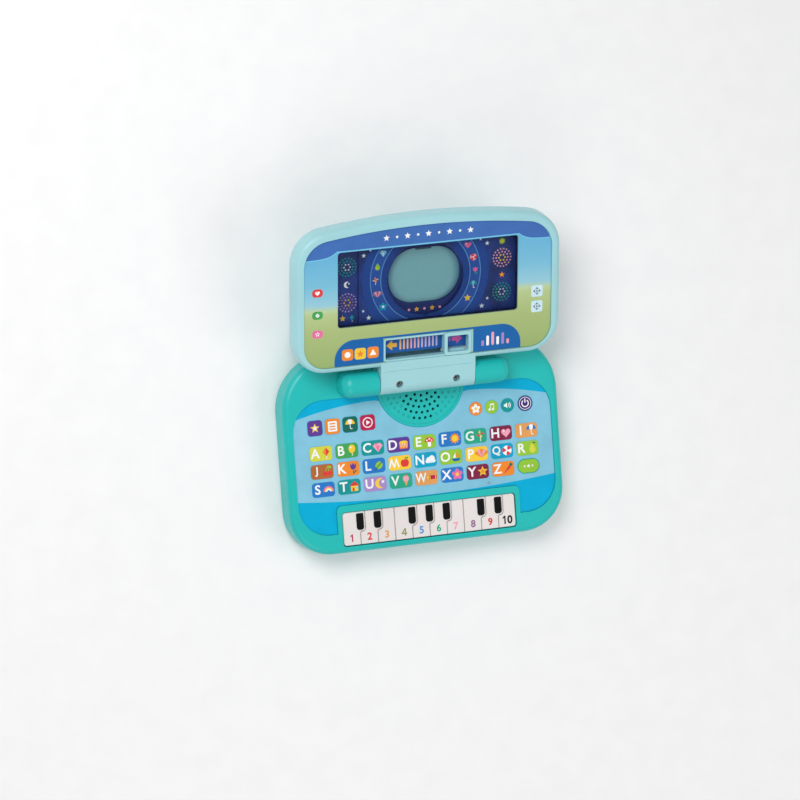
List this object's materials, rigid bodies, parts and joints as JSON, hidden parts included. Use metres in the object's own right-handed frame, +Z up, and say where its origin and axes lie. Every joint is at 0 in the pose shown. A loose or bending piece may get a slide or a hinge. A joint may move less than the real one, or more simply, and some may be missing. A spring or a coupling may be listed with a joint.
{
  "type": "toy laptop computer",
  "caption": "Folding toy laptop: teal base with letter keypad, speaker grille and small piano, aqua lid on a barrel hinge with picture window, round display and scene slider.",
  "frame": {"origin": "on the table under the middle of the open toy, close below the hinge axis", "axes": "+X along the hinge, +Y from the piano towards the open lid, +Z up"},
  "size_m": [0.252, 0.2952, 0.0852],
  "materials": {
    "teal_plastic": "moulded, satin gloss",
    "aqua_plastic": "moulded, glossy",
    "grey_rubber": "matt",
    "steel": "plated",
    "cell_case": "sleeved",
    "keypad_print": "printed film, satin",
    "membrane_film": "translucent film",
    "speaker_steel": "painted",
    "dark_plastic": "moulded",
    "circuit_board": "lacquered",
    "dome_rubber": "matt",
    "face_print": "printed film, satin",
    "clear_plastic": "clear, polished",
    "scene_print": "printed, satin",
    "slot_print": "printed, satin",
    "pinion_plastic": "moulded",
    "display_grey": "reflective display glass",
    "white_key_plastic": "moulded, glossy",
    "black_key_plastic": "moulded, glossy"
  },
  "bodies": {
    "base": {"base_top_cover": "teal_plastic", "base_bottom_cover": "teal_plastic", "battery_door": "teal_plastic", "rubber_feet": "grey_rubber", "base_screws": "steel", "battery_door_screw": "steel", "battery_cells": "cell_case", "battery_contacts": "steel", "keypad_overlay": "keypad_print", "keypad_membrane": "membrane_film", "speaker_driver": "speaker_steel", "speaker_clamp_ring": "dark_plastic", "main_board": "circuit_board", "board_components": "dark_plastic", "key_pivot_rod": "steel", "key_board": "circuit_board", "key_domes": "dome_rubber", "hinge_pin_right": "steel", "hinge_pin_left": "steel"},
    "lid": {"lid_front_frame": "aqua_plastic", "lid_back_cover": "aqua_plastic", "face_sheet": "face_print", "window_lens": "clear_plastic", "scene_backing": "scene_print", "slot_floor": "slot_print", "display_bezel": "dark_plastic", "display_glass": "display_grey", "display_board": "circuit_board", "hinge_screws": "steel", "lid_screws": "steel"},
    "slider": {"slider_knob": "aqua_plastic", "slider_carriage": "pinion_plastic", "scene_panel_left": "scene_print"},
    "right_scene": {"scene_panel_right": "scene_print"},
    "pinion": {"drive_pinion": "pinion_plastic"},
    "key_1": {"white_key_1": "white_key_plastic", "black_key_1": "black_key_plastic"},
    "key_2": {"white_key_2": "white_key_plastic", "black_key_2": "black_key_plastic"},
    "key_3": {"white_key_3": "white_key_plastic"},
    "key_4": {"white_key_4": "white_key_plastic", "black_key_4": "black_key_plastic"},
    "key_5": {"white_key_5": "white_key_plastic", "black_key_5": "black_key_plastic"},
    "key_6": {"white_key_6": "white_key_plastic", "black_key_6": "black_key_plastic"},
    "key_7": {"white_key_7": "white_key_plastic"},
    "key_8": {"white_key_8": "white_key_plastic", "black_key_8": "black_key_plastic"},
    "key_9": {"white_key_9": "white_key_plastic", "black_key_9": "black_key_plastic"},
    "key_10": {"white_key_10": "white_key_plastic"}
  },
  "joints": [
    {"name": "lid_hinge", "type": "hinge", "parent": "base", "child": "lid", "pos_m": [0, -0.00011, 0.0416], "axis": [1, 0, 0], "range_deg": [0, 167]},
    {"name": "scene_slider", "type": "slide", "parent": "lid", "child": "slider", "axis": [1, 0, 0], "range_m": [-0.053, 0]},
    {"name": "right_scene_slide", "type": "slide", "parent": "lid", "child": "right_scene", "axis": [1, 0, 0], "range_m": [0, 0.053]},
    {"name": "pinion_spin", "type": "hinge", "parent": "lid", "child": "pinion", "pos_m": [0, 0.043, 0.05284], "axis": [0, -0.225, 0.9744], "range_deg": [-405, 0]},
    {"name": "key_1_press", "type": "hinge", "parent": "base", "child": "key_1", "pos_m": [0, -0.10011, 0.0221], "axis": [1, 0, 0], "range_deg": [0, 4.19], "stiffness_Nm_per_rad": 0.6, "springref_deg": -1.72},
    {"name": "key_2_press", "type": "hinge", "parent": "base", "child": "key_2", "pos_m": [0, -0.10011, 0.0221], "axis": [1, 0, 0], "range_deg": [0, 4.19], "stiffness_Nm_per_rad": 0.6, "springref_deg": -1.72},
    {"name": "key_3_press", "type": "hinge", "parent": "base", "child": "key_3", "pos_m": [0, -0.10011, 0.0221], "axis": [1, 0, 0], "range_deg": [0, 4.19], "stiffness_Nm_per_rad": 0.6, "springref_deg": -1.72},
    {"name": "key_4_press", "type": "hinge", "parent": "base", "child": "key_4", "pos_m": [0, -0.10011, 0.0221], "axis": [1, 0, 0], "range_deg": [0, 4.19], "stiffness_Nm_per_rad": 0.6, "springref_deg": -1.72},
    {"name": "key_5_press", "type": "hinge", "parent": "base", "child": "key_5", "pos_m": [0, -0.10011, 0.0221], "axis": [1, 0, 0], "range_deg": [0, 4.19], "stiffness_Nm_per_rad": 0.6, "springref_deg": -1.72},
    {"name": "key_6_press", "type": "hinge", "parent": "base", "child": "key_6", "pos_m": [0, -0.10011, 0.0221], "axis": [1, 0, 0], "range_deg": [0, 4.19], "stiffness_Nm_per_rad": 0.6, "springref_deg": -1.72},
    {"name": "key_7_press", "type": "hinge", "parent": "base", "child": "key_7", "pos_m": [0, -0.10011, 0.0221], "axis": [1, 0, 0], "range_deg": [0, 4.19], "stiffness_Nm_per_rad": 0.6, "springref_deg": -1.72},
    {"name": "key_8_press", "type": "hinge", "parent": "base", "child": "key_8", "pos_m": [0, -0.10011, 0.0221], "axis": [1, 0, 0], "range_deg": [0, 4.19], "stiffness_Nm_per_rad": 0.6, "springref_deg": -1.72},
    {"name": "key_9_press", "type": "hinge", "parent": "base", "child": "key_9", "pos_m": [0, -0.10011, 0.0221], "axis": [1, 0, 0], "range_deg": [0, 4.19], "stiffness_Nm_per_rad": 0.6, "springref_deg": -1.72},
    {"name": "key_10_press", "type": "hinge", "parent": "base", "child": "key_10", "pos_m": [0, -0.10011, 0.0221], "axis": [1, 0, 0], "range_deg": [0, 4.19], "stiffness_Nm_per_rad": 0.6, "springref_deg": -1.72}
  ],
  "couplings": [
    {"joint": "right_scene_slide", "follows": "scene_slider", "ratio": -1},
    {"joint": "pinion_spin", "follows": "scene_slider", "rad_per_m": 133.33}
  ]
}
